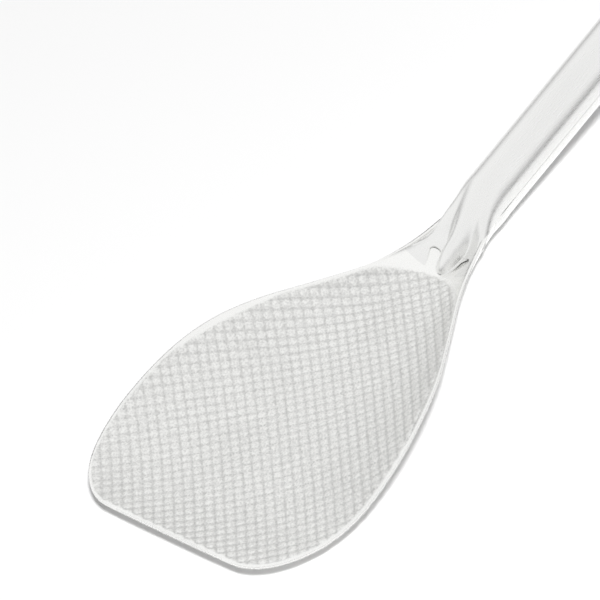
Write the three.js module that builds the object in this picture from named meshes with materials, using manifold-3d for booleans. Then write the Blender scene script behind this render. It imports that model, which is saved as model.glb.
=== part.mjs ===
// Wide stainless spatula. One pressed sheet makes the dished blade, its channel-shaped neck and its tang.
// The tang sits in a hollow handle of two pressed half shells, and a sleeve lines the hanging hole.
// Millimetres. +X runs to the blade's tip, +Z is up, and the blade's flat floor lies on z = 0.
// While the pieces are made, x = 0 is the neck line, where the tongue leaves the upper shell's wings.
import * as THREE from "three";
import { mergeVertices } from "three/addons/utils/BufferGeometryUtils.js";
import Module from "manifold-3d";

// Blade
const bladeSheet = 1.0; // thickness of the pressed sheet
const neckRim = 6.4; // rim over the table at the neck
const crestRim = 11.3; // rim at its highest, at the sides
const frontRim = 5.6; // rim along the front edge
const crestStart = 10; // where the rim begins to rise from the neck
const crestAt = 58; // where it is highest
const frontLevel = 108; // where it has come down to the height of the front edge
const widestHalf = 45; // half the blade's greatest width
const widestAt = 89; // from the neck line to the greatest width
const cornerLength = 33.4; // from there to the front edge
const frontHalf = 22.9; // half the straight front edge
const flareStart = -22.5; // where the neck begins to widen
const sideSteepness = 1.671; // straight side to the line from flare start to greatest width, 1 to 2
const flareShare = 0.464; // share of the flare in the radii of flare and side
const floorLand = 6; // half width of the flat strip along the floor
const landStart = 6; // where that strip begins
const landFull = 26; // where it has its full width
const dishFull = 24; // where the channel section has become the dish section
const channelPower = 0.5; // makes the section a circle in the channel, where 1 is a parabola
const floorEase = 10; // half length of the bend from tang to floor
const rimEase = 5; // half length of the bend from seam to rim
const tangEnd = -58; // rear end of the tang

// Handle
const handleRise = THREE.MathUtils.degToRad(7.4); // of the handle over the floor
const neckAxisHeight = 6.9; // handle axis over the table at the neck line
const neckHalfWidth = 7.7; // round section at the neck
const gripHalfWidth = 8.1; // round section at its fullest
const gripFullAt = -128; // where the handle is fullest
const handleTail = -166; // tail end
const shellWall = 0.6; // thickness of both half shells
const tailRound = 9; // length of the rounded tail end
const padStart = -126; // where the tail begins to flatten
const padFull = -141; // where it is flat
const padHalfHeight = 3.6; // half the tail's thickness at the hanging hole
const padSoftness = 12; // higher values make the edge of the flat sharper

// Front end of the upper shell
const tongueHeight = 5.8; // ridge over the wings
const tongueHalf = 2.7; // half width of the ridge
const tongueTip = 6; // reach of the tongue ahead of the neck line
const tongueRound = 5.3; // length of its rounded end, seen from above
const noseLength = 13.3; // length over which the ridge runs down
const ridgeStart = -15; // where the round section begins to change
const ridgeFull = 0; // where ridge and wings are formed
const tongueLip = 0.4; // flat margin round the tongue
const notchEnd = -0.6; // closed end of the notch beside the tongue, from the neck line
const notchRadius = 1.6;
const wingReach = 9; // front of the wings at the rim
const wingEdge = 0.2; // thickness to which their front is ground

// Front end of the lower shell
const lowerFront = -7; // bottom edge, under the neck
const lowerSeamFront = -19; // same edge up at the seam

// Hanging hole
const holeFromTail = 14; // centre of the hole from the tail end
const holeBore = 8; // clear diameter
const sleeveWall = 0.6;
const sleeveLip = 1.6; // width of each lip beyond the tube
const lipThickness = 0.6;

// Clearances
const tangFit = 0.15; // between the neck or tang and either shell
const seamGap = 0.1; // between the two shells
const sleeveFit = 0.15; // between the sleeve and the shells

// Fineness of the curved surfaces
const bladeColumns = 24;
const tangSteps = 3;
const neckSteps = 18;
const dishSteps = 9;
const cornerSteps = 10;
const tailSteps = 6;
const holeSteps = 2;
const padSteps = 6;
const gripSteps = 4;
const ridgeSteps = 10;
const tongueSteps = 10;
const wingSteps = 4;
const domeColumns = 12;
const wingColumns = 7;
const lipColumns = 2;
const lowerColumns = 16;
const lowerSteps = 12;
const turnSegments = 32;
const planSegments = 8;
const trimMargin = 20; // trimming shapes pass the pieces by this much
const tiny = 1e-3; // step over which slopes are taken

const wasm = await Module();
wasm.setup();

const rise = Math.tan(handleRise);
const tangHalf = neckHalfWidth - shellWall - tangFit - bladeSheet;
const holeAt = handleTail + holeFromTail;
const clamp = THREE.MathUtils.clamp;
const lerp = THREE.MathUtils.lerp;
const smoothstep = THREE.MathUtils.smoothstep;

const axisHeight = (x) => neckAxisHeight - x * rise;

// Evenly spaced values from one end to the other, both ends included.
function spread(from, to, count) {
  return Array.from({ length: count + 1 }, (_, i) => lerp(from, to, i / count));
}

// A line that rises towards the tail and is level ahead of `meet`. Its bend is rounded over `reach`
// to both sides.
function easeToLevel(x, level, meet, reach) {
  const run = meet + reach - x;
  if (run <= 0) return level;
  if (run >= 2 * reach) return level + (meet - x) * rise;
  return level + (rise * run * run) / (4 * reach);
}

// Closed solid between the two skins of a sheet, given as matching grids of points.
function sheetSolid(outer, inner) {
  const rows = outer.length;
  const columns = outer[0].length;
  const points = [...outer.flat(), ...inner.flat()];
  const at = (i, j) => i * columns + j;
  const back = (i, j) => rows * columns + at(i, j);
  const faces = [];
  const quad = (a, b, c, d) => faces.push(a, b, c, a, c, d);
  for (let i = 0; i + 1 < rows; i++) {
    for (let j = 0; j + 1 < columns; j++) {
      quad(at(i, j), at(i + 1, j), at(i + 1, j + 1), at(i, j + 1));
      quad(back(i, j), back(i, j + 1), back(i + 1, j + 1), back(i + 1, j));
    }
    quad(at(i, 0), back(i, 0), back(i + 1, 0), at(i + 1, 0));
    quad(at(i, columns - 1), at(i + 1, columns - 1), back(i + 1, columns - 1), back(i, columns - 1));
  }
  for (let j = 0; j + 1 < columns; j++) {
    quad(at(0, j), at(0, j + 1), back(0, j + 1), back(0, j));
    quad(at(rows - 1, j), back(rows - 1, j), back(rows - 1, j + 1), at(rows - 1, j + 1));
  }
  const geometry = new THREE.BufferGeometry().setFromPoints(points);
  geometry.setIndex(faces);
  return toSolid(geometry);
}

// Solid for cutting, from a geometry whose faces form one closed skin.
function toSolid(geometry) {
  const bare = new THREE.BufferGeometry();
  bare.setAttribute("position", geometry.getAttribute("position"));
  bare.setIndex(geometry.getIndex());
  const merged = mergeVertices(bare, 1e-4);
  const index = merged.getIndex().array;
  const kept = [];
  for (let i = 0; i < index.length; i += 3) {
    const [a, b, c] = [index[i], index[i + 1], index[i + 2]];
    if (a !== b && b !== c && c !== a) kept.push(a, b, c);
  }
  const vertProperties = new Float32Array(merged.getAttribute("position").array);
  const triVerts = new Uint32Array(kept);
  return new wasm.Manifold(new wasm.Mesh({ numProp: 3, vertProperties, triVerts }));
}

function toGeometry(solid) {
  const mesh = solid.getMesh();
  const geometry = new THREE.BufferGeometry();
  geometry.setAttribute("position", new THREE.BufferAttribute(mesh.vertProperties, 3));
  geometry.setIndex(new THREE.BufferAttribute(mesh.triVerts, 1));
  geometry.computeVertexNormals();
  return geometry;
}

// Blade outline: tang, hollow flare, straight side, side arc, elliptical corner, straight front edge.
const along = widestAt - flareStart;
const across = widestHalf - tangHalf;
const sideAngle = sideSteepness * Math.atan2(across, along);
const turnAcross = 1 - Math.cos(sideAngle);
const bothRadii = (along * Math.sin(sideAngle) - across * Math.cos(sideAngle)) / turnAcross;
const flareRadius = flareShare * bothRadii;
const sideRadius = bothRadii - flareRadius;
const flareEnd = flareStart + flareRadius * Math.sin(sideAngle);
const flareEndHalf = tangHalf + flareRadius * turnAcross;
const sideStart = widestAt - sideRadius * Math.sin(sideAngle);

// How far an arc of this radius has left its tangent, at a distance along the tangent.
const arcDrop = (radius, distance) => radius - Math.sqrt(radius ** 2 - distance ** 2);

function bladeHalf(x) {
  if (x <= flareStart) return tangHalf;
  if (x <= flareEnd) return tangHalf + arcDrop(flareRadius, x - flareStart);
  if (x <= sideStart) return flareEndHalf + (x - flareEnd) * Math.tan(sideAngle);
  if (x <= widestAt) return widestHalf - arcDrop(sideRadius, widestAt - x);
  const ahead = Math.min((x - widestAt) / cornerLength, 1);
  return frontHalf + (widestHalf - frontHalf) * Math.sqrt(1 - ahead ** 2);
}

const tangFloorMeet = (neckAxisHeight - tangHalf - bladeSheet) / rise;
const seamRimMeet = (neckAxisHeight - seamGap - neckRim) / rise;
const floorTop = (x) => easeToLevel(x, bladeSheet, tangFloorMeet, floorEase);

function rimTop(x) {
  const crest = (crestRim - neckRim) * smoothstep(x, crestStart, crestAt);
  const drop = (crestRim - frontRim) * smoothstep(x, crestAt, frontLevel);
  return easeToLevel(x, neckRim, seamRimMeet, rimEase) + crest - drop;
}

// Top skin of the sheet: a round channel in the handle that opens into a shallow dish. It rises from
// the flat strip along its middle to the rim at the sides, and to the front edge as well.
function bladeTop(x, y) {
  const land = floorLand * smoothstep(x, landStart, landFull);
  const side = Math.max(0, Math.abs(y) - land) / (bladeHalf(x) - land);
  const ahead = Math.max(0, x - widestAt) / cornerLength;
  const inside = (1 - side ** 2) * (1 - ahead ** 2);
  const roundness = lerp(channelPower, 1, smoothstep(x, lowerFront, dishFull));
  return rimTop(x) - (rimTop(x) - floorTop(x)) * Math.sign(inside) * Math.abs(inside) ** roundness;
}

// Height of a skin that keeps a distance from the top skin. It lies in the hollow and passes level
// over the rim.
function overBlade(x, y, distance) {
  const half = bladeHalf(x);
  const share = Math.min(Math.abs(y) / (half - distance), 1);
  return bladeTop(x, half * share) + distance;
}

const cornerTurns = spread(0, Math.PI / 2, cornerSteps).slice(1);
const bladeRows = [
  ...spread(tangEnd, flareStart, tangSteps),
  ...spread(flareStart, dishFull, neckSteps).slice(1),
  ...spread(dishFull, widestAt, dishSteps).slice(1),
  ...cornerTurns.map((turn) => widestAt + cornerLength * Math.sin(turn)),
];
const bladeTurns = spread(-Math.PI / 2, Math.PI / 2, bladeColumns);

function bladePoint(x, turn) {
  const y = bladeHalf(x) * Math.sin(turn);
  return new THREE.Vector3(x, y, bladeTop(x, y));
}

// Under skin, one sheet thickness below the top skin, square to it.
function bladeUnder(x, turn) {
  const top = bladePoint(x, turn);
  const right = bladePoint(x, Math.min(turn + tiny, Math.PI / 2));
  const left = bladePoint(x, Math.max(turn - tiny, -Math.PI / 2));
  const climb = bladeTop(x + tiny, top.y) - bladeTop(x - tiny, top.y);
  const normal = new THREE.Vector3(2 * tiny, 0, climb).cross(right.sub(left)).normalize();
  return top.addScaledVector(normal, -bladeSheet);
}

function makeBlade() {
  const top = bladeRows.map((x) => bladeTurns.map((turn) => bladePoint(x, turn)));
  const under = bladeRows.map((x) => bladeTurns.map((turn) => bladeUnder(x, turn)));
  return sheetSolid(top, under);
}

// Handle section: round, fuller towards the tail, flat round the hanging hole, rounded off at the end.
function handleSize(x, end, wall) {
  const fullness = clamp((flareStart - x) / (flareStart - gripFullAt), 0, 1);
  const half = lerp(neckHalfWidth, gripHalfWidth, fullness) - wall;
  const pad = lerp(half, padHalfHeight - wall, smoothstep(-x, -padStart, -padFull));
  const back = clamp((end + tailRound - x) / tailRound, 0, 1);
  return { half, pad, closing: Math.sqrt(1 - back ** 2) };
}

// Point of the handle's skin, turned from -90 to 90 degrees over the top (side 1) or bottom (side -1).
function handlePoint(x, turn, side, wall) {
  const { half, pad, closing } = handleSize(x, handleTail + wall, wall);
  const round = half * Math.cos(turn);
  const flat = (round ** -padSoftness + pad ** -padSoftness) ** (-1 / padSoftness);
  const height = pad < half ? flat : round;
  const z = axisHeight(x) + side * (seamGap / 2 + closing * height);
  return new THREE.Vector3(x, half * closing * Math.sin(turn), z);
}

const tailTurns = spread(Math.PI / 2, 0, tailSteps);
const tailRow = (turn, wall) => handleTail + wall + tailRound * (1 - Math.sin(turn));
const tailRows = (wall) => tailTurns.map((turn) => tailRow(turn, wall));
const gripRows = [
  ...spread(handleTail + shellWall + tailRound, padFull, holeSteps).slice(1),
  ...spread(padFull, padStart, padSteps).slice(1),
  ...spread(padStart, ridgeStart, gripSteps).slice(1),
];

// Upper shell ahead of the round section: a ridge that runs out in the tongue, between two wings that
// lie on the neck. Shares of its half width mark the ridge's foot and where a wing turns over the rim.
const footShare = 0.5;
const lipShare = 0.85;

function ridgeSize(x) {
  const nose = clamp((x - (tongueTip - noseLength)) / noseLength, 0, 1);
  const tip = clamp((x - (tongueTip - tongueRound)) / tongueRound, 0, 1);
  const high = tongueHeight * Math.sqrt(1 - nose ** 2);
  return { high, half: tongueHalf * Math.sqrt(1 - tip ** 2) };
}

// Distance of the shell's outer or inner skin from the neck, less where the wings are ground thin.
function standOff(x, wall) {
  const ground = smoothstep(x, notchEnd, wingReach);
  return tangFit + (wall > 0 ? 0 : lerp(shellWall, wingEdge, ground));
}

function ridgePoint(x, share, wall) {
  const { high, half } = ridgeSize(x);
  const distance = standOff(x, wall);
  const turn = Math.min(Math.abs(share) / footShare, 1) * Math.PI / 2;
  const wing = clamp((Math.abs(share) - footShare) / (lipShare - footShare), 0, 1);
  const lip = clamp((Math.abs(share) - lipShare) / (1 - lipShare), 0, 1);
  const foot = Math.max(half - wall, half / 3) * Math.sin(turn);
  const corner = lerp(foot, bladeHalf(x) - distance, Math.sin(wing * Math.PI / 2));
  const cap = bladeSheet * (1 - smoothstep(x, ridgeFull, wingReach));
  const y = Math.sign(share) * lerp(corner, bladeHalf(x) + cap, lip);
  const dome = high * Math.max(0, Math.cos(turn));
  return new THREE.Vector3(x, y, overBlade(x, y, distance) + dome);
}

// The round section and the ridge pass into each other, always clear of the neck and its rim.
function upperPoint(x, share, wall) {
  const formed = smoothstep(x, ridgeStart, ridgeFull);
  const point = handlePoint(x, share * Math.PI / 2, 1, wall);
  if (formed === 0) return point;
  point.lerp(ridgePoint(x, share, wall), formed);
  const distance = lerp(tangFit, standOff(x, wall), formed);
  point.z = Math.max(point.z, overBlade(x, point.y, distance));
  return point;
}

const upperFront = wingReach + tongueLip;
const upperRows = [
  ...gripRows,
  ...spread(ridgeStart, ridgeFull, ridgeSteps).slice(1),
  ...spread(ridgeFull, tongueTip, tongueSteps).slice(1),
  ...spread(tongueTip, upperFront, wingSteps).slice(1),
];
const upperShares = [
  ...spread(-1, -lipShare, lipColumns),
  ...spread(-lipShare, -footShare, wingColumns).slice(1),
  ...spread(-footShare, footShare, domeColumns).slice(1),
  ...spread(footShare, lipShare, wingColumns).slice(1),
  ...spread(lipShare, 1, lipColumns).slice(1),
];

// Plan of the upper shell's front end: tongue, a notch on each side of it, and the wings along the rim.
function upperPlan() {
  const plan = new THREE.Shape();
  const side = tongueHalf + tongueLip;
  const notchMiddle = side + notchRadius;
  const notchOuter = side + 2 * notchRadius;
  const notchStart = notchEnd + notchRadius;
  const tongueStart = tongueTip - tongueRound;
  const tail = handleTail - trimMargin;
  plan.moveTo(tail, -widestHalf);
  plan.lineTo(wingReach, -widestHalf);
  plan.lineTo(wingReach, -bladeHalf(wingReach));
  plan.quadraticCurveTo(wingReach, -notchOuter, notchStart, -notchOuter);
  plan.absarc(notchStart, -notchMiddle, notchRadius, -Math.PI / 2, -1.5 * Math.PI, true);
  plan.absellipse(tongueStart, 0, tongueRound + tongueLip, side, -Math.PI / 2, Math.PI / 2);
  plan.absarc(notchStart, notchMiddle, notchRadius, 1.5 * Math.PI, Math.PI / 2, true);
  plan.quadraticCurveTo(wingReach, notchOuter, wingReach, bladeHalf(wingReach));
  plan.lineTo(wingReach, widestHalf);
  plan.lineTo(tail, widestHalf);
  return plan;
}

function prism(outline, depth) {
  const options = { depth, bevelEnabled: false, curveSegments: planSegments };
  return new THREE.ExtrudeGeometry(outline, options);
}

// Hole through both shells, square to the handle axis.
function holeCutter() {
  const radius = holeBore / 2 + sleeveWall + sleeveFit;
  const cylinder = new THREE.CylinderGeometry(radius, radius, 2 * trimMargin, turnSegments);
  cylinder.rotateX(Math.PI / 2).rotateY(handleRise).translate(holeAt, 0, axisHeight(holeAt));
  return toSolid(cylinder);
}

function makeUpperShell() {
  const row = (x, wall) => upperShares.map((share) => upperPoint(x, share, wall));
  const skin = (wall) => [...tailRows(wall), ...upperRows].map((x) => row(x, wall));
  const plan = prism(upperPlan(), axisHeight(handleTail) + trimMargin);
  return sheetSolid(skin(0), skin(shellWall)).intersect(toSolid(plan)).subtract(holeCutter());
}

// Lower shell: round, then widening with the neck that it holds, its front edge swept back to the seam.
const lowerRows = [...gripRows, ...spread(ridgeStart, lowerFront, lowerSteps).slice(1)];
const lowerTurns = spread(-Math.PI / 2, Math.PI / 2, lowerColumns);

function lowerPoint(x, turn, wall) {
  const point = handlePoint(x, turn, -1, wall);
  point.y += (bladeHalf(x) - tangHalf) * Math.sin(turn);
  return point;
}

function lowerSide() {
  const side = new THREE.Shape();
  const tail = handleTail - trimMargin;
  const seam = axisHeight(lowerSeamFront);
  side.moveTo(tail, -trimMargin);
  side.lineTo(lowerFront, -trimMargin);
  side.lineTo(lowerFront, 0);
  side.quadraticCurveTo(lowerFront, seam / 2, lowerSeamFront, seam);
  side.lineTo(lowerSeamFront, axisHeight(tail));
  side.lineTo(tail, axisHeight(tail));
  return side;
}

function makeLowerShell() {
  const row = (x, wall) => lowerTurns.map((turn) => lowerPoint(x, turn, wall));
  const skin = (wall) => [...tailRows(wall), ...lowerRows].map((x) => row(x, wall));
  const side = prism(lowerSide(), 2 * widestHalf);
  side.rotateX(Math.PI / 2).translate(0, widestHalf, 0);
  return sheetSolid(skin(shellWall), skin(0)).intersect(toSolid(side)).subtract(holeCutter());
}

// Sleeve with a lip on each face of the tail, turned about its own axis.
function makeSleeve() {
  const bore = holeBore / 2;
  const tube = bore + sleeveWall;
  const lip = tube + sleeveLip;
  const seat = (padHalfHeight + seamGap / 2) * Math.cos(handleRise) + sleeveFit;
  const face = seat + lipThickness;
  const profile = [
    [bore, -face],
    [lip, -face],
    [lip, -seat],
    [tube, -seat],
    [tube, seat],
    [lip, seat],
    [lip, face],
    [bore, face],
    [bore, -face],
  ];
  const points = profile.map(([radius, height]) => new THREE.Vector2(radius, height));
  return toSolid(new THREE.LatheGeometry(points, turnSegments));
}

const steel = (color, roughness) => new THREE.MeshStandardMaterial({ color, roughness, metalness: 1 });

function addPiece(group, name, solid, material) {
  const mesh = new THREE.Mesh(toGeometry(solid), material);
  mesh.name = name;
  group.add(mesh);
  return mesh;
}

const spatula = new THREE.Group();
spatula.name = "wide_spatula";
const handle = new THREE.Group();
handle.name = "handle";
spatula.add(handle);

addPiece(spatula, "blade", makeBlade(), steel(0xd9d9d4, 0.4));
addPiece(handle, "handle_upper_shell", makeUpperShell(), steel(0xdcdcda, 0.3));
addPiece(handle, "handle_lower_shell", makeLowerShell(), steel(0xd6d6d4, 0.3));
const sleeve = addPiece(handle, "hanging_sleeve", makeSleeve(), steel(0xd0d0ce, 0.25));
sleeve.position.set(holeAt, 0, axisHeight(holeAt));
sleeve.rotation.set(Math.PI / 2, handleRise, 0, "YXZ");

// The finished part stands over the middle of its own length.
const box = new THREE.Box3().setFromObject(spatula);
spatula.position.x = -(box.min.x + box.max.x) / 2;
spatula.position.z = -box.min.z;

export default spatula;
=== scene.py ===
import math

import bmesh
import bpy
from mathutils import Euler, Matrix, Vector


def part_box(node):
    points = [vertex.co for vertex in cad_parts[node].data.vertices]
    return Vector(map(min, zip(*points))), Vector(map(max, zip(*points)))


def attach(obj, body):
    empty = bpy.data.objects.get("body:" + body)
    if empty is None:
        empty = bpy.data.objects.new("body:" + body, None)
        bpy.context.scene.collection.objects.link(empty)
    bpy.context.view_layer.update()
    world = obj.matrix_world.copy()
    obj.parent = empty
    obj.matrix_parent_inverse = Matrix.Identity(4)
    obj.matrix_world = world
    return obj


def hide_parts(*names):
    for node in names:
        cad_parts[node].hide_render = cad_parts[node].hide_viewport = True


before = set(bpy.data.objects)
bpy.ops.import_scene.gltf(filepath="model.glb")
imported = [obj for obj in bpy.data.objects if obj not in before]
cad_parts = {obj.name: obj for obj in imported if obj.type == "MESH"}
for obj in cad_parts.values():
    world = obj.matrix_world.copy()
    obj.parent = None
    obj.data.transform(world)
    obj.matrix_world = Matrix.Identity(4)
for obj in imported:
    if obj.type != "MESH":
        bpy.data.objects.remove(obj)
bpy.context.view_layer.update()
print("frame loaded:", ", ".join(sorted(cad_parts)))

# shapes are worked out in millimetres from the neck line, where the tongue leaves the wings
mm = 0.001
tailReach = 166
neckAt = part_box("handle_upper_shell")[0].x + tailReach * mm
toFrame = Matrix.Translation((neckAt, 0, 0)) @ Matrix.Scale(mm, 4)
mergeGap = 1e-4  # points nearer than this become one
sliverGap = 1e-5
tiny = 1e-6
roundPower = 0.5  # makes a section round, as 1 makes it a parabola
noiseSpan = (0.3, 0.7)  # nearly all values of a noise lie in it


def mix(a, b, t):
    return a + (b - a) * t


def clamp(value, low=0.0, high=1.0):
    return max(low, min(high, value))


def smoothStep(value, start, end):
    t = clamp((value - start) / (end - start))
    return t * t * (3 - 2 * t)


# larger of two heights, with the corner between them rounded
def softMax(a, b, softness):
    return (a + b + math.hypot(a - b, softness)) / 2


def spread(start, end, count):
    return [mix(start, end, i / count) for i in range(count + 1)]


# sheet: dished blade, channel neck and tang, pressed from one piece
sheet = {
    "thickness": 1.0,
    "tangEnd": -58, "tangHalf": 5.95,
    "flareStart": -22.5, "steepness": 1.671, "flareShare": 0.464,
    "widestAt": 89, "widestHalf": 45,
    "cornerLength": 33.4, "frontHalf": 22.9,
    "neckRim": 6.4, "crestRim": 11.3, "frontRim": 5.6,
    "crestStart": 10, "crestAt": 58, "frontLevel": 108,
    "landHalf": 6, "landStart": 6, "landFull": 26,
    "channelEnd": -7, "dishFull": 24,
    "floorEase": 10, "rimEase": 5,
    "columns": 150, "tangRows": 8, "neckRows": 44, "dishRows": 146, "cornerRows": 84,
}
# emboss: square lattice of soft pillows, turned by 45 degrees
emboss = {
    "pitch": 2.735, "height": 0.5, "softness": 0.5,
    "start": 7.6, "startBow": 0.035, "startFade": 1.6,
    "border": 0.3, "borderFade": 0.8,
}
# handle: two half shells round the tang
handle = {
    "rise": math.tan(math.radians(7.4)), "neckAxis": 6.9, "seam": 0.1,
    "neckHalf": 7.7, "gripHalf": 8.1, "gripFullAt": -128,
    "tail": -tailReach, "tailRound": 9, "wall": 0.6,
    "padStart": -126, "padFull": -141, "padHalf": 3.6, "padSoftness": 12,
}

bladeReach = sheet["widestAt"] + sheet["cornerLength"]
alongSide = sheet["widestAt"] - sheet["flareStart"]
acrossSide = sheet["widestHalf"] - sheet["tangHalf"]
sideAngle = sheet["steepness"] * math.atan2(acrossSide, alongSide)
bothRadii = alongSide * math.sin(sideAngle) - acrossSide * math.cos(sideAngle)
bothRadii /= 1 - math.cos(sideAngle)
flareRadius = sheet["flareShare"] * bothRadii
sideRadius = bothRadii - flareRadius
flareEnd = sheet["flareStart"] + flareRadius * math.sin(sideAngle)
flareEndHalf = sheet["tangHalf"] + flareRadius * (1 - math.cos(sideAngle))
sideStart = sheet["widestAt"] - sideRadius * math.sin(sideAngle)


def arcDrop(radius, distance):
    return radius - math.sqrt(radius ** 2 - distance ** 2)


def bladeHalf(x):
    if x <= sheet["flareStart"]:
        return sheet["tangHalf"]
    if x <= flareEnd:
        return sheet["tangHalf"] + arcDrop(flareRadius, x - sheet["flareStart"])
    if x <= sideStart:
        return flareEndHalf + (x - flareEnd) * math.tan(sideAngle)
    if x <= sheet["widestAt"]:
        return sheet["widestHalf"] - arcDrop(sideRadius, sheet["widestAt"] - x)
    ahead = min((x - sheet["widestAt"]) / sheet["cornerLength"], 1)
    return mix(sheet["frontHalf"], sheet["widestHalf"], math.sqrt(1 - ahead ** 2))


def axisHeight(x):
    return handle["neckAxis"] - x * handle["rise"]


# rises with the handle behind a place, level ahead of it, with a soft bend
def easeToLevel(x, level, meet, reach):
    run = meet + reach - x
    if run <= 0:
        return level
    if run >= 2 * reach:
        return level + (meet - x) * handle["rise"]
    return level + handle["rise"] * run ** 2 / (4 * reach)


def floorTop(x):
    meet = (handle["neckAxis"] - sheet["tangHalf"] - sheet["thickness"]) / handle["rise"]
    return easeToLevel(x, sheet["thickness"], meet, sheet["floorEase"])


def rimTop(x):
    meet = (handle["neckAxis"] - handle["seam"] - sheet["neckRim"]) / handle["rise"]
    climb = smoothStep(x, sheet["crestStart"], sheet["crestAt"])
    crest = (sheet["crestRim"] - sheet["neckRim"]) * climb
    descent = smoothStep(x, sheet["crestAt"], sheet["frontLevel"])
    drop = (sheet["crestRim"] - sheet["frontRim"]) * descent
    return easeToLevel(x, sheet["neckRim"], meet, sheet["rimEase"]) + crest - drop


def bladeTop(x, y):
    land = sheet["landHalf"] * smoothStep(x, sheet["landStart"], sheet["landFull"])
    side = max(0, abs(y) - land) / (bladeHalf(x) - land)
    ahead = max(0, x - sheet["widestAt"]) / sheet["cornerLength"]
    inside = (1 - side ** 2) * (1 - ahead ** 2)
    power = mix(roundPower, 1, smoothStep(x, sheet["channelEnd"], sheet["dishFull"]))
    depth = math.copysign(abs(inside) ** power, inside)
    return mix(rimTop(x), floorTop(x), depth)


# share of a pillow's full height
def pillowAt(x, y):
    turn = math.pi / emboss["pitch"] / math.sqrt(2)
    return abs(math.sin(turn * (x + y)) * math.sin(turn * (x - y))) ** (2 * emboss["softness"])


# how far the pillows are pressed: they stop short of the rim and along an arc at the neck
def embossMask(x, y):
    start = emboss["start"] + emboss["startBow"] * y ** 2
    if x <= start:
        return 0
    step = 0.1
    slope = (bladeHalf(x) - bladeHalf(x - step)) / step
    toSide = (bladeHalf(x) - abs(y)) / math.hypot(1, slope)
    toEdge = min(toSide, bladeReach - x)
    mask = smoothStep(x, start, start + emboss["startFade"])
    return mask * smoothStep(toEdge, emboss["border"], emboss["border"] + emboss["borderFade"])


# a grid whose rows and columns are moved to the places given by pointAt(row, column)
def mappedGrid(bm, rows, columns, pointAt):
    made = bmesh.ops.create_grid(bm, x_segments=rows, y_segments=columns, size=1)["verts"]
    for v in made:
        row = round((v.co.x + 1) / 2 * rows)
        column = round((v.co.y + 1) / 2 * columns)
        v.co = pointAt(row, column)
    return made


def finishMesh(bm, name, material, sharpAngle=40):
    bmesh.ops.transform(bm, matrix=toFrame, verts=bm.verts)
    for face in bm.faces:
        face.smooth = True
    for edge in bm.edges:
        if edge.is_manifold and edge.calc_face_angle(0) > math.radians(sharpAngle):
            edge.smooth = False
    mesh = bpy.data.meshes.new(name)
    bm.to_mesh(mesh)
    bm.free()
    mesh.materials.append(material)
    piece = bpy.data.objects.new(name, mesh)
    bpy.context.scene.collection.objects.link(piece)
    return piece


def newMaterial(name):
    material = bpy.data.materials.new(name)
    material.use_nodes = True
    tree = material.node_tree
    tree.nodes.clear()
    out = tree.nodes.new("ShaderNodeOutputMaterial")
    shader = tree.nodes.new("ShaderNodeBsdfPrincipled")
    tree.links.new(shader.outputs["BSDF"], out.inputs["Surface"])
    return material, tree, shader


def addNode(tree, kind, **settings):
    node = tree.nodes.new(kind)
    for key, value in settings.items():
        setattr(node, key, value)
    return node


# noise on the piece's own coordinates, stretched by a mapping
def noiseOn(tree, stretch, scale, detail):
    place = addNode(tree, "ShaderNodeTexCoord")
    mapping = addNode(tree, "ShaderNodeMapping")
    mapping.inputs["Scale"].default_value = stretch
    noise = addNode(tree, "ShaderNodeTexNoise")
    noise.inputs["Scale"].default_value = scale
    noise.inputs["Detail"].default_value = detail
    tree.links.new(place.outputs["Object"], mapping.inputs["Vector"])
    tree.links.new(mapping.outputs["Vector"], noise.inputs["Vector"])
    return noise.outputs["Fac"]


def rampOn(tree, value, stops):
    ramp = addNode(tree, "ShaderNodeValToRGB")
    elements = ramp.color_ramp.elements
    for number, (place, colour) in enumerate(stops):
        if 0 < number < len(stops) - 1:
            elements.new(place)
        elements[number].position = place
        elements[number].color = colour
    tree.links.new(value, ramp.inputs["Fac"])
    return ramp.outputs["Color"]


def rangeOn(tree, value, low, high):
    spreadOut = addNode(tree, "ShaderNodeMapRange")
    spreadOut.inputs["From Min"].default_value = noiseSpan[0]
    spreadOut.inputs["From Max"].default_value = noiseSpan[1]
    spreadOut.inputs["To Min"].default_value = low
    spreadOut.inputs["To Max"].default_value = high
    tree.links.new(value, spreadOut.inputs["Value"])
    return spreadOut.outputs["Result"]


def bumpOn(tree, value, strength, distance):
    bump = addNode(tree, "ShaderNodeBump")
    bump.inputs["Strength"].default_value = strength
    bump.inputs["Distance"].default_value = distance
    tree.links.new(value, bump.inputs["Height"])
    return bump


def attributeOn(tree, name):
    return addNode(tree, "ShaderNodeAttribute", attribute_name=name).outputs["Fac"]


def multiplyOn(tree, tint, shade):
    product = addNode(tree, "ShaderNodeMix", data_type="RGBA", blend_type="MULTIPLY")
    product.inputs["Factor"].default_value = 1
    tree.links.new(tint, product.inputs["A"])
    tree.links.new(shade, product.inputs["B"])
    return product


# painted shade: the tint is darkened in the creases of the emboss and stays full on the pillow tops
def paintedCreaseShadeOn(tree, tint, look):
    shade = rampOn(tree, attributeOn(tree, "paintedCreaseShade"), look["paintedCreaseShade"])
    return multiplyOn(tree, tint, shade).outputs["Result"]


# fine dark speckles where the sheet is pressed
def specklesOn(tree, tint, look):
    grain = noiseOn(tree, (1, 1, 1), look["speckleScale"], detail=2)
    speckled = multiplyOn(tree, tint, rampOn(tree, grain, look["speckles"]))
    tree.links.new(attributeOn(tree, "pressed"), speckled.inputs["Factor"])
    return speckled.outputs["Result"]


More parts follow.
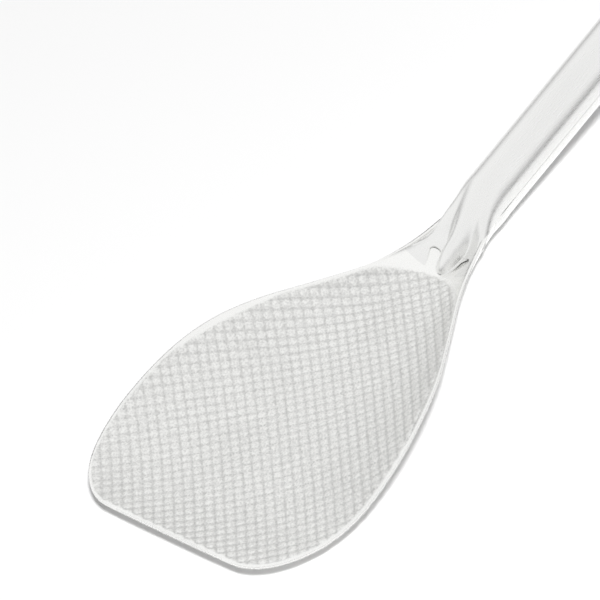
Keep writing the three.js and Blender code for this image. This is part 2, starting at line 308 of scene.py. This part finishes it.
# satin steel: soft clouds in the tint, fine grain in gloss and surface, rougher where pressed
def satinSteel(look):
    material, tree, shader = newMaterial(look["name"])
    clouds = noiseOn(tree, (1, 1, 1), look["cloudScale"], detail=3)
    tints = [(noiseSpan[0], look["darkTint"]), (noiseSpan[1], look["paleTint"])]
    tint = rampOn(tree, clouds, tints)
    grain = noiseOn(tree, look["grainStretch"], look["grainScale"], detail=4)
    roughness = rangeOn(tree, grain, *look["roughness"])
    bump = bumpOn(tree, grain, look["bumpStrength"], look["bumpDepth"])
    if "pressedRoughness" in look:
        tint = specklesOn(tree, paintedCreaseShadeOn(tree, tint, look), look)
        pressed = attributeOn(tree, "pressed")
        tree.links.new(rangeOn(tree, pressed, 0, look["bumpStrength"]), bump.inputs["Strength"])
        widened = addNode(tree, "ShaderNodeMath", operation="ADD")
        tree.links.new(roughness, widened.inputs[0])
        tree.links.new(rangeOn(tree, pressed, 0, look["pressedRoughness"]), widened.inputs[1])
        roughness = widened.outputs["Value"]
    tree.links.new(tint, shader.inputs["Base Color"])
    tree.links.new(roughness, shader.inputs["Roughness"])
    tree.links.new(bump.outputs["Normal"], shader.inputs["Normal"])
    shader.inputs["Metallic"].default_value = 1
    return material


bladeSteel = satinSteel({
    "name": "bladeSteel", "cloudScale": 45,
    "darkTint": (0.93, 0.93, 0.915, 1), "paleTint": (0.97, 0.97, 0.955, 1),
    # painted crease shade: the tint falls to 0.78 in the emboss creases
    "paintedCreaseShade": [(0, (0.78, 0.78, 0.78, 1)), (0.45, (1, 1, 1, 1))],
    "speckleScale": 1650, "speckles": [(0.38, (0.83, 0.83, 0.83, 1)), (0.6, (1, 1, 1, 1))],
    "grainStretch": (1, 1, 1), "grainScale": 2200,
    "roughness": (0.22, 0.32), "pressedRoughness": 0.25,
    "bumpStrength": 0.9, "bumpDepth": 0.00025,
})
handleSteel = satinSteel({
    "name": "handleSteel", "cloudScale": 30,
    "darkTint": (0.86, 0.86, 0.85, 1), "paleTint": (0.9, 0.9, 0.89, 1),
    "grainStretch": (1, 14, 14), "grainScale": 260, "roughness": (0.24, 0.32),
    "bumpStrength": 0.04, "bumpDepth": 0.0001,
})
sleeveSteel = satinSteel({
    "name": "sleeveSteel", "cloudScale": 120,
    "darkTint": (0.72, 0.72, 0.71, 1), "paleTint": (0.8, 0.8, 0.79, 1),
    "grainStretch": (8, 8, 1), "grainScale": 400, "roughness": (0.18, 0.28),
    "bumpStrength": 0.04, "bumpDepth": 0.0001,
})
print("steel materials ready")


# blade with its embossed hollow, given its thickness by a modifier
bladeRows = spread(sheet["tangEnd"], sheet["flareStart"], sheet["tangRows"])
bladeRows += spread(sheet["flareStart"], emboss["start"], sheet["neckRows"])[1:]
bladeRows += spread(emboss["start"], sheet["widestAt"], sheet["dishRows"])[1:]
for turn in spread(0, math.pi / 2, sheet["cornerRows"])[1:]:
    bladeRows.append(sheet["widestAt"] + sheet["cornerLength"] * math.sin(turn))


# columns follow the round of the channel and are even across the dish
def bladePoint(row, column):
    x = bladeRows[row]
    share = 2 * column / sheet["columns"] - 1
    opened = smoothStep(x, sheet["channelEnd"], sheet["dishFull"])
    y = bladeHalf(x) * mix(math.sin(share * math.pi / 2), share, opened)
    lift = emboss["height"] * embossMask(x, y) * pillowAt(x, y)
    return Vector((x, y, bladeTop(x, y) + lift))


bm = bmesh.new()
mappedGrid(bm, len(bladeRows) - 1, sheet["columns"], bladePoint)
pressed = bm.verts.layers.float.new("pressed")
paintedCreaseShade = bm.verts.layers.float.new("paintedCreaseShade")
for v in bm.verts:
    v[pressed] = embossMask(v.co.x, v.co.y)
    # painted crease shade: 1 on the flat sheet and the pillow tops, falling to 0 in the creases
    v[paintedCreaseShade] = 1 - v[pressed] * (1 - pillowAt(v.co.x, v.co.y))
bmesh.ops.recalc_face_normals(bm, faces=bm.faces)
if sum(face.normal.z for face in bm.faces) < 0:
    bmesh.ops.reverse_faces(bm, faces=bm.faces)
blade = finishMesh(bm, "embossedBlade", bladeSteel)
thickness = blade.modifiers.new("thickness", "SOLIDIFY")
thickness.thickness = sheet["thickness"] * mm
thickness.offset = -1
thickness.use_even_offset = True
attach(blade, "root")
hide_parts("blade")
print("blade:", len(blade.data.polygons), "faces")


def handleSize(x, wall):
    fullness = clamp((sheet["flareStart"] - x) / (sheet["flareStart"] - handle["gripFullAt"]))
    half = mix(handle["neckHalf"], handle["gripHalf"], fullness) - wall
    flattened = smoothStep(-x, -handle["padStart"], -handle["padFull"])
    pad = mix(half, handle["padHalf"] - wall, flattened)
    back = clamp((handle["tail"] + wall + handle["tailRound"] - x) / handle["tailRound"])
    return half, pad, math.sqrt(1 - back ** 2)


# turned from -90 to 90 degrees over the top (side 1) or under the bottom (side -1)
def handlePoint(x, turn, side, wall):
    half, pad, closing = handleSize(x, wall)
    height = half * max(math.cos(turn), tiny)
    if pad < half:
        soft = handle["padSoftness"]
        height = (height ** -soft + pad ** -soft) ** (-1 / soft)
    z = axisHeight(x) + side * (handle["seam"] / 2 + closing * height)
    return Vector((x, half * closing * math.sin(turn), z))


def tailRows(wall, count):
    return [handle["tail"] + wall + handle["tailRound"] * (1 - math.sin(turn))
            for turn in spread(math.pi / 2, 0, count)]


gripStart = handle["tail"] + handle["tailRound"] + handle["wall"]


# outer and inner skin of a shell are joined all round their edges
def closeShell(bm):
    bmesh.ops.remove_doubles(bm, verts=bm.verts, dist=mergeGap)
    bmesh.ops.dissolve_degenerate(bm, edges=bm.edges, dist=sliverGap)
    rims = [edge for edge in bm.edges if edge.is_boundary]
    bmesh.ops.bridge_loops(bm, edges=rims)
    bmesh.ops.recalc_face_normals(bm, faces=bm.faces)


# front end of the upper shell: ridge, tongue, notches and wings
tongue = {
    "height": 5.8, "half": 3.1, "leastHalf": 0.001, "taperEnd": 5,
    "tip": 7.2, "round": 4.6, "nose": 13.3, "lip": -0.15, "foot": 1.2,
    "ridgeStart": -18, "ridgeFull": 0, "flankPower": 0.9, "blend": 11, "crease": 0.3,
    "notchEnd": 0.2, "notchRadius": 1.5,
    "hookOut": 7.0, "hookIn": 5.4, "hookTo": 6.4, "wingReach": 9,
    "fit": 0.15, "flush": -0.03, "sunk": -0.05, "flushAt": 7.5,
    "cap": 1.1, "tuck": -0.2, "capEnd": -4, "tuckFull": 3, "edgeSoftness": 0.1,
    "rollStart": 0.3, "rollDrop": 0.6, "rollFull": -7,
    "hugStart": -10, "hugFull": 1.5, "sharpAngle": 60,
    "middleShare": 0.42, "middleColumns": 56, "wingColumns": 28,
    "tailRows": 18, "gripRows": 70, "ridgeRows": 60, "notchRows": 12, "tongueRows": 24,
    "hookRows": 14, "wingRows": 22,
}
notchStart = tongue["notchEnd"] + tongue["notchRadius"]
tongueStart = tongue["tip"] - tongue["round"]
tongueEnd = tongue["tip"] + tongue["lip"]


# half width of the ridge, from the round handle down to the tongue's blunt tip
def ridgeHalf(x):
    taper = clamp((x - tongue["ridgeStart"]) / (tongue["taperEnd"] - tongue["ridgeStart"]))
    tip = clamp((x - tongueStart) / tongue["round"])
    return mix(handle["neckHalf"], tongue["half"], taper) * math.sqrt(1 - tip ** 2)


notchMiddle = (ridgeHalf(notchStart) + tongue["lip"] + tongue["hookOut"]) / 2


# share of the way from the round handle to ridge and wings
def formedAt(x):
    return smoothStep(x, tongue["ridgeStart"], tongue["ridgeFull"])


# share by which the wings are ground down to the sheet
def groundAt(x):
    return smoothStep(x, tongue["notchEnd"], tongue["flushAt"])


def standOff(x, wall):
    if wall > 0:
        return mix(tongue["fit"], tongue["sunk"], groundAt(x))
    return mix(tongue["fit"] + handle["wall"], tongue["flush"], groundAt(x))


def wingOuter(x):
    cap = mix(tongue["cap"], tongue["tuck"], smoothStep(x, tongue["capEnd"], tongue["tuckFull"]))
    return softMax(handle["neckHalf"], bladeHalf(x) + cap, tongue["edgeSoftness"])


# skin of the wings: keeps its distance from the neck and rolls down over the rim
def wingSkin(x, y, wall):
    half = bladeHalf(x)
    distance = standOff(x, wall)
    hugging = bladeTop(x, min(abs(y), half - distance)) + distance
    swell = (1 - math.cos(math.pi * min(abs(y) / half, 1))) / 2
    loose = mix(floorTop(x), rimTop(x), swell) + distance
    level = mix(loose, hugging, smoothStep(x, tongue["hugStart"], tongue["hugFull"]))
    rolledEdge = mix(axisHeight(x) + handle["seam"] / 2, rimTop(x) - tongue["rollDrop"],
                     smoothStep(x, tongue["ridgeStart"], tongue["rollFull"]))
    drop = rimTop(x) + standOff(x, 0) - rolledEdge
    rollStart = half - tongue["rollStart"]
    roll = max(0, abs(y) - rollStart) / (tongue["cap"] + tongue["rollStart"])
    return level - drop * roll ** 2


# ridge: the round of the handle, narrowed and lowered into the tongue
def ridgeSkin(x, y, wall):
    formed = formedAt(x)
    nose = clamp(1 - (tongueEnd - x) / tongue["nose"])
    low = wingSkin(x, 0, wall)
    seam = axisHeight(x) + handle["seam"] / 2
    half = max(ridgeHalf(x) - wall * (1 - formed), tongue["leastHalf"])
    base = mix(seam, low - tongue["foot"], formed)
    crest = low + tongue["height"] * math.sqrt(1 - nose ** 2)
    top = mix(seam + handle["neckHalf"] - wall, crest, formed)
    across = min(abs(y) / half, 1)
    return mix(base, top, (1 - across ** 2) ** mix(roundPower, tongue["flankPower"], formed))


# width of the notch as a share, from its closed end to where its sides run straight
def notchOpening(x):
    return math.sqrt(1 - ((notchStart - x) / tongue["notchRadius"]) ** 2)


# half width of the tongue and inner edge of a wing, which meet behind the notch
def tongueEdge(x):
    if x <= tongue["notchEnd"]:
        return notchMiddle
    if x < notchStart:
        return mix(notchMiddle, ridgeHalf(x) + tongue["lip"], notchOpening(x))
    ahead = clamp((x - tongueStart) / (tongueEnd - tongueStart))
    taper = ridgeHalf(min(x, tongueStart)) + tongue["lip"]
    return taper * math.sqrt(1 - ahead ** 2)


def wingEdge(x):
    if x <= tongue["notchEnd"]:
        return notchMiddle
    if x < notchStart:
        return mix(notchMiddle, tongue["hookOut"], notchOpening(x))
    if x < tongue["hookTo"]:
        along = (x - notchStart) / (tongue["hookTo"] - notchStart)
        return mix(tongue["hookOut"], tongue["hookIn"], along)
    sweep = clamp((x - tongue["hookTo"]) / (tongue["wingReach"] - tongue["hookTo"]))
    return mix(tongue["hookIn"], wingOuter(tongue["wingReach"]), 1 - math.sqrt(1 - sweep ** 2))


# upper skin: round behind the neck, then the higher of ridge and wing, blended
def upperPoint(x, y, share, wall):
    formed = formedAt(x)
    turn = share * math.pi / 2
    roundSide = handlePoint(x, turn, 1, wall)
    if formed == 0:
        return roundSide
    rounded = (wingOuter(x) - wall * (1 - formed)) * math.sin(turn)
    y = mix(rounded, y, formed)
    wing = mix(roundSide.z, wingSkin(x, y, wall), formed)
    blend = tongue["blend"] * formed ** 2 * (1 - formed) + tongue["crease"] * formed
    return Vector((x, y, softMax(ridgeSkin(x, y, wall), wing, blend)))


rearRows = spread(gripStart, tongue["ridgeStart"], tongue["gripRows"])
rearRows += spread(tongue["ridgeStart"], tongue["notchEnd"], tongue["ridgeRows"])[1:]
notchRows = [tongue["notchEnd"] + tongue["notchRadius"] * (1 - math.cos(turn))
             for turn in spread(0, math.pi / 2, tongue["notchRows"])[1:]]
tongueRows = notchRows + [notchStart + (tongueEnd - notchStart) * math.sin(turn)
                          for turn in spread(0, math.pi / 2, tongue["tongueRows"])[1:]]
wingRows = notchRows + spread(notchStart, tongue["hookTo"], tongue["hookRows"])[1:]
wingRows += [mix(tongue["hookTo"], tongue["wingReach"], math.sin(turn))
             for turn in spread(0, math.pi / 2, tongue["wingRows"])[1:]]


def addUpperSkin(bm, wall):
    rear = tailRows(wall, tongue["tailRows"]) + rearRows[1:]
    middle = rear + tongueRows
    wings = rear + wingRows

    def middlePoint(row, column):
        share = 2 * column / tongue["middleColumns"] - 1
        x = middle[row]
        return upperPoint(x, share * tongueEdge(x), share * tongue["middleShare"], wall)

    def wingPoint(side):
        def pointAt(row, column):
            out = column / tongue["wingColumns"]
            x = wings[row]
            y = mix(wingEdge(x), wingOuter(x), out)
            return upperPoint(x, side * y, side * mix(tongue["middleShare"], 1, out), wall)
        return pointAt

    mappedGrid(bm, len(middle) - 1, tongue["middleColumns"], middlePoint)
    mappedGrid(bm, len(wings) - 1, tongue["wingColumns"], wingPoint(1))
    mappedGrid(bm, len(wings) - 1, tongue["wingColumns"], wingPoint(-1))


bm = bmesh.new()
addUpperSkin(bm, 0)
addUpperSkin(bm, handle["wall"])
closeShell(bm)
upperShell = finishMesh(bm, "tonguedUpperShell", handleSteel, tongue["sharpAngle"])
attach(upperShell, "root")
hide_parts("handle_upper_shell")
print("upper shell:", len(upperShell.data.polygons), "faces")


# lower shell: its front edge sweeps back from under the neck to the seam
lower = {
    "front": -8, "seamFront": -12, "solveRounds": 8,
    "feather": 14, "seamFeather": 5, "outerStep": 0.7, "innerStep": 0.12,
    "columns": 72, "tailRows": 18, "gripRows": 70, "neckRows": 24,
}


# round section, widened with the sheet at the neck
def lowerSection(x, turn, wall, thinned=0):
    point = handlePoint(x, turn, -1, wall + thinned)
    point.y += (bladeHalf(x) - sheet["tangHalf"]) * math.sin(turn)
    return point


# the edge depends on the height it reaches, so it is worked out in rounds
def lowerFrontAt(turn):
    seamHeight = axisHeight(lower["seamFront"])
    x = lower["front"]
    for solveRound in range(lower["solveRounds"]):
        height = lowerSection(x, turn, 0).z
        x = mix(lower["front"], lower["seamFront"], (height / seamHeight) ** 2)
    return x


def addLowerSkin(bm, wall):
    neckStart = lower["seamFront"] - lower["feather"]
    rear = tailRows(wall, lower["tailRows"])
    rear += spread(gripStart, neckStart, lower["gripRows"])[1:]
    thinned = lower["innerStep"] if wall else lower["outerStep"]

    def pointAt(row, column):
        turn = math.pi * (column / lower["columns"] - 0.5)
        front = lowerFrontAt(turn)
        if row < len(rear):
            x = rear[row]
        else:
            x = mix(neckStart, front, (row - len(rear) + 1) / lower["neckRows"])
        feather = mix(lower["feather"], lower["seamFeather"], math.sin(turn) ** 2)
        return lowerSection(x, turn, wall, thinned * smoothStep(x, front - feather, front))

    mappedGrid(bm, len(rear) - 1 + lower["neckRows"], lower["columns"], pointAt)


bm = bmesh.new()
addLowerSkin(bm, 0)
addLowerSkin(bm, handle["wall"])
closeShell(bm)
lowerShell = finishMesh(bm, "lowerShell", handleSteel)
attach(lowerShell, "root")
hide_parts("handle_lower_shell")
print("lower shell:", len(lowerShell.data.polygons), "faces")


# sleeve that lines the hanging hole, with a rolled lip on each face
sleeve = {
    "fromTail": 14, "bore": 4, "wall": 0.6, "lip": 1.6, "lipThick": 0.6, "fit": 0.15,
    "steps": 72, "roll": 0.25, "rollSegments": 4, "sharpAngle": 60, "drillLength": 30,
}
holeAt = handle["tail"] + sleeve["fromTail"]
holeTilt = math.atan(handle["rise"])
holeTurn = Matrix.Translation((holeAt, 0, axisHeight(holeAt))) @ Matrix.Rotation(holeTilt, 4, "Y")


def drillHole(piece):
    bm = bmesh.new()
    radius = sleeve["bore"] + sleeve["wall"] + sleeve["fit"]
    bmesh.ops.create_cone(bm, cap_ends=True, segments=sleeve["steps"],
                          radius1=radius, radius2=radius, depth=sleeve["drillLength"])
    bmesh.ops.transform(bm, matrix=holeTurn, verts=bm.verts)
    drill = finishMesh(bm, "drill", piece.data.materials[0])
    cut = piece.modifiers.new("hole", "BOOLEAN")
    cut.operation = "DIFFERENCE"
    cut.solver = "EXACT"
    cut.object = drill
    bpy.context.view_layer.update()
    evaluated = piece.evaluated_get(bpy.context.evaluated_depsgraph_get())
    drilled = bpy.data.meshes.new_from_object(evaluated)
    piece.modifiers.remove(cut)
    piece.data = drilled
    bpy.data.objects.remove(drill)


drillHole(upperShell)
drillHole(lowerShell)

bm = bmesh.new()
tube = sleeve["bore"] + sleeve["wall"]
lipRadius = tube + sleeve["lip"]
seat = (handle["padHalf"] + handle["seam"] / 2) * math.cos(holeTilt) + sleeve["fit"]
lipFace = seat + sleeve["lipThick"]
profile = [(sleeve["bore"], -lipFace), (lipRadius, -lipFace), (lipRadius, -seat), (tube, -seat),
           (tube, seat), (lipRadius, seat), (lipRadius, lipFace), (sleeve["bore"], lipFace)]
corners = [bm.verts.new((radius, 0, height)) for radius, height in profile]
edges = [bm.edges.new((corners[i], corners[(i + 1) % len(corners)])) for i in range(len(corners))]
bmesh.ops.spin(bm, geom=corners + edges, axis=(0, 0, 1), cent=(0, 0, 0), angle=2 * math.pi,
               steps=sleeve["steps"], use_merge=True)
bmesh.ops.remove_doubles(bm, verts=bm.verts, dist=mergeGap)
bmesh.ops.recalc_face_normals(bm, faces=bm.faces)
lipEdges = [edge for edge in bm.edges
            if all(abs(abs(v.co.z) - lipFace) < mergeGap for v in edge.verts)
            and edge.calc_face_angle(0) > math.radians(sleeve["sharpAngle"])]
bmesh.ops.bevel(bm, geom=lipEdges, offset=sleeve["roll"], affect="EDGES",
                segments=sleeve["rollSegments"], profile=0.5, material=-1)
bmesh.ops.transform(bm, matrix=holeTurn, verts=bm.verts)
hangingSleeve = finishMesh(bm, "hangingSleeve", sleeveSteel)
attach(hangingSleeve, "root")
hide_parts("hanging_sleeve")
print("sleeve:", len(hangingSleeve.data.polygons), "faces")


# stage: pale floor, graded studio dome and one soft lamp that throws the shadow on the floor
# the dome's stops go from the horizon to overhead, and are darker low down on the near side
stage = {
    "floorHalf": 3.0, "floorColour": (0.8, 0.8, 0.8, 1), "floorGlow": 0.15,
    "nearStops": [(0.0, 0.26), (0.12, 0.36), (0.3, 0.75), (0.52, 0.99), (1.0, 0.95)],
    "farStops": [(0.0, 0.3), (0.1, 0.5), (0.26, 0.85), (0.52, 1.0), (1.0, 0.95)],
    "farSide": -0.45, "nearSide": 0.45, "domeStrength": 1.0,
    "fillStrength": 0.16,
    "lampPlace": (0.605, 1.25, 2.155), "lampAim": (0, 0, 0), "lampSize": 0.5, "lampPower": 73,
}


# what the camera and reflections see, against what lights the floor
def seenByEye(tree):
    path = addNode(tree, "ShaderNodeLightPath")
    seen = addNode(tree, "ShaderNodeMath", operation="MAXIMUM")
    seenThrough = addNode(tree, "ShaderNodeMath", operation="MAXIMUM")
    tree.links.new(path.outputs["Is Camera Ray"], seen.inputs[0])
    tree.links.new(path.outputs["Is Glossy Ray"], seen.inputs[1])
    tree.links.new(seen.outputs["Value"], seenThrough.inputs[0])
    tree.links.new(path.outputs["Is Transmission Ray"], seenThrough.inputs[1])
    return seenThrough.outputs["Value"]


bm = bmesh.new()
bmesh.ops.create_grid(bm, x_segments=2, y_segments=2, size=stage["floorHalf"])
floorMesh = bpy.data.meshes.new("floor")
bm.to_mesh(floorMesh)
bm.free()
floor = bpy.data.objects.new("floor", floorMesh)
bpy.context.scene.collection.objects.link(floor)
floorMaterial = bpy.data.materials.new("paleFloor")
floorMaterial.use_nodes = True
tree = floorMaterial.node_tree
tree.nodes.clear()
out = addNode(tree, "ShaderNodeOutputMaterial")
diffuse = addNode(tree, "ShaderNodeBsdfDiffuse")
diffuse.inputs["Color"].default_value = stage["floorColour"]
glow = addNode(tree, "ShaderNodeEmission")
glow.inputs["Strength"].default_value = stage["floorGlow"]
both = addNode(tree, "ShaderNodeAddShader")
pick = addNode(tree, "ShaderNodeMixShader")
tree.links.new(diffuse.outputs["BSDF"], both.inputs[0])
tree.links.new(glow.outputs["Emission"], both.inputs[1])
tree.links.new(seenByEye(tree), pick.inputs["Fac"])
tree.links.new(diffuse.outputs["BSDF"], pick.inputs[1])
tree.links.new(both.outputs["Shader"], pick.inputs[2])
tree.links.new(pick.outputs["Shader"], out.inputs["Surface"])
floorMesh.materials.append(floorMaterial)

world = bpy.data.worlds.new("studioDome")
world.use_nodes = True
bpy.context.scene.world = world
tree = world.node_tree
tree.nodes.clear()
out = addNode(tree, "ShaderNodeOutputWorld")
dome = addNode(tree, "ShaderNodeBackground")
dome.inputs["Strength"].default_value = stage["domeStrength"]
fill = addNode(tree, "ShaderNodeBackground")
fill.inputs["Strength"].default_value = stage["fillStrength"]
fill.inputs["Color"].default_value = (1, 1, 1, 1)
direction = addNode(tree, "ShaderNodeTexCoord")
split = addNode(tree, "ShaderNodeSeparateXYZ")
tree.links.new(direction.outputs["Generated"], split.inputs["Vector"])
sides = addNode(tree, "ShaderNodeMix", data_type="RGBA")
for stops, socket in ((stage["farStops"], "A"), (stage["nearStops"], "B")):
    greys = [(place, (level, level, level, 1)) for place, level in stops]
    tree.links.new(rampOn(tree, split.outputs["Z"], greys), sides.inputs[socket])
across = addNode(tree, "ShaderNodeMapRange", interpolation_type="SMOOTHSTEP")
across.inputs["From Min"].default_value = stage["farSide"]
across.inputs["From Max"].default_value = stage["nearSide"]
tree.links.new(split.outputs["Y"], across.inputs["Value"])
tree.links.new(across.outputs["Result"], sides.inputs["Factor"])
tree.links.new(sides.outputs["Result"], dome.inputs["Color"])
pick = addNode(tree, "ShaderNodeMixShader")
tree.links.new(seenByEye(tree), pick.inputs["Fac"])
tree.links.new(fill.outputs["Background"], pick.inputs[1])
tree.links.new(dome.outputs["Background"], pick.inputs[2])
tree.links.new(pick.outputs["Shader"], out.inputs["Surface"])

lampData = bpy.data.lights.new("softLamp", "AREA")
lampData.shape = "DISK"
lampData.size = stage["lampSize"]
lampData.energy = stage["lampPower"]
lamp = bpy.data.objects.new("softLamp", lampData)
lamp.location = stage["lampPlace"]
lamp.rotation_euler = (Vector(stage["lampAim"]) - lamp.location).to_track_quat("-Z", "Y").to_euler()
lamp.visible_glossy = False
bpy.context.scene.collection.objects.link(lamp)

# camera: long lens, above the blade's front and its +Y side
view = {
    "place": (616.998, 759.081, 856.572),  # from the neck line, in millimetres
    "turn": (47.3525, 14.1362, 130.84),
    "lens": 278.4, "sensor": 36, "farClip": 20,
}
cameraData = bpy.data.cameras.new("camera")
cameraData.lens = view["lens"]
cameraData.sensor_width = view["sensor"]
cameraData.clip_end = view["farClip"]
camera = bpy.data.objects.new("camera", cameraData)
camera.location = toFrame @ Vector(view["place"])
camera.rotation_euler = Euler([math.radians(angle) for angle in view["turn"]])
bpy.context.scene.collection.objects.link(camera)
bpy.context.scene.camera = camera
bpy.context.scene.view_settings.view_transform = "Standard"
print("stage and camera ready")
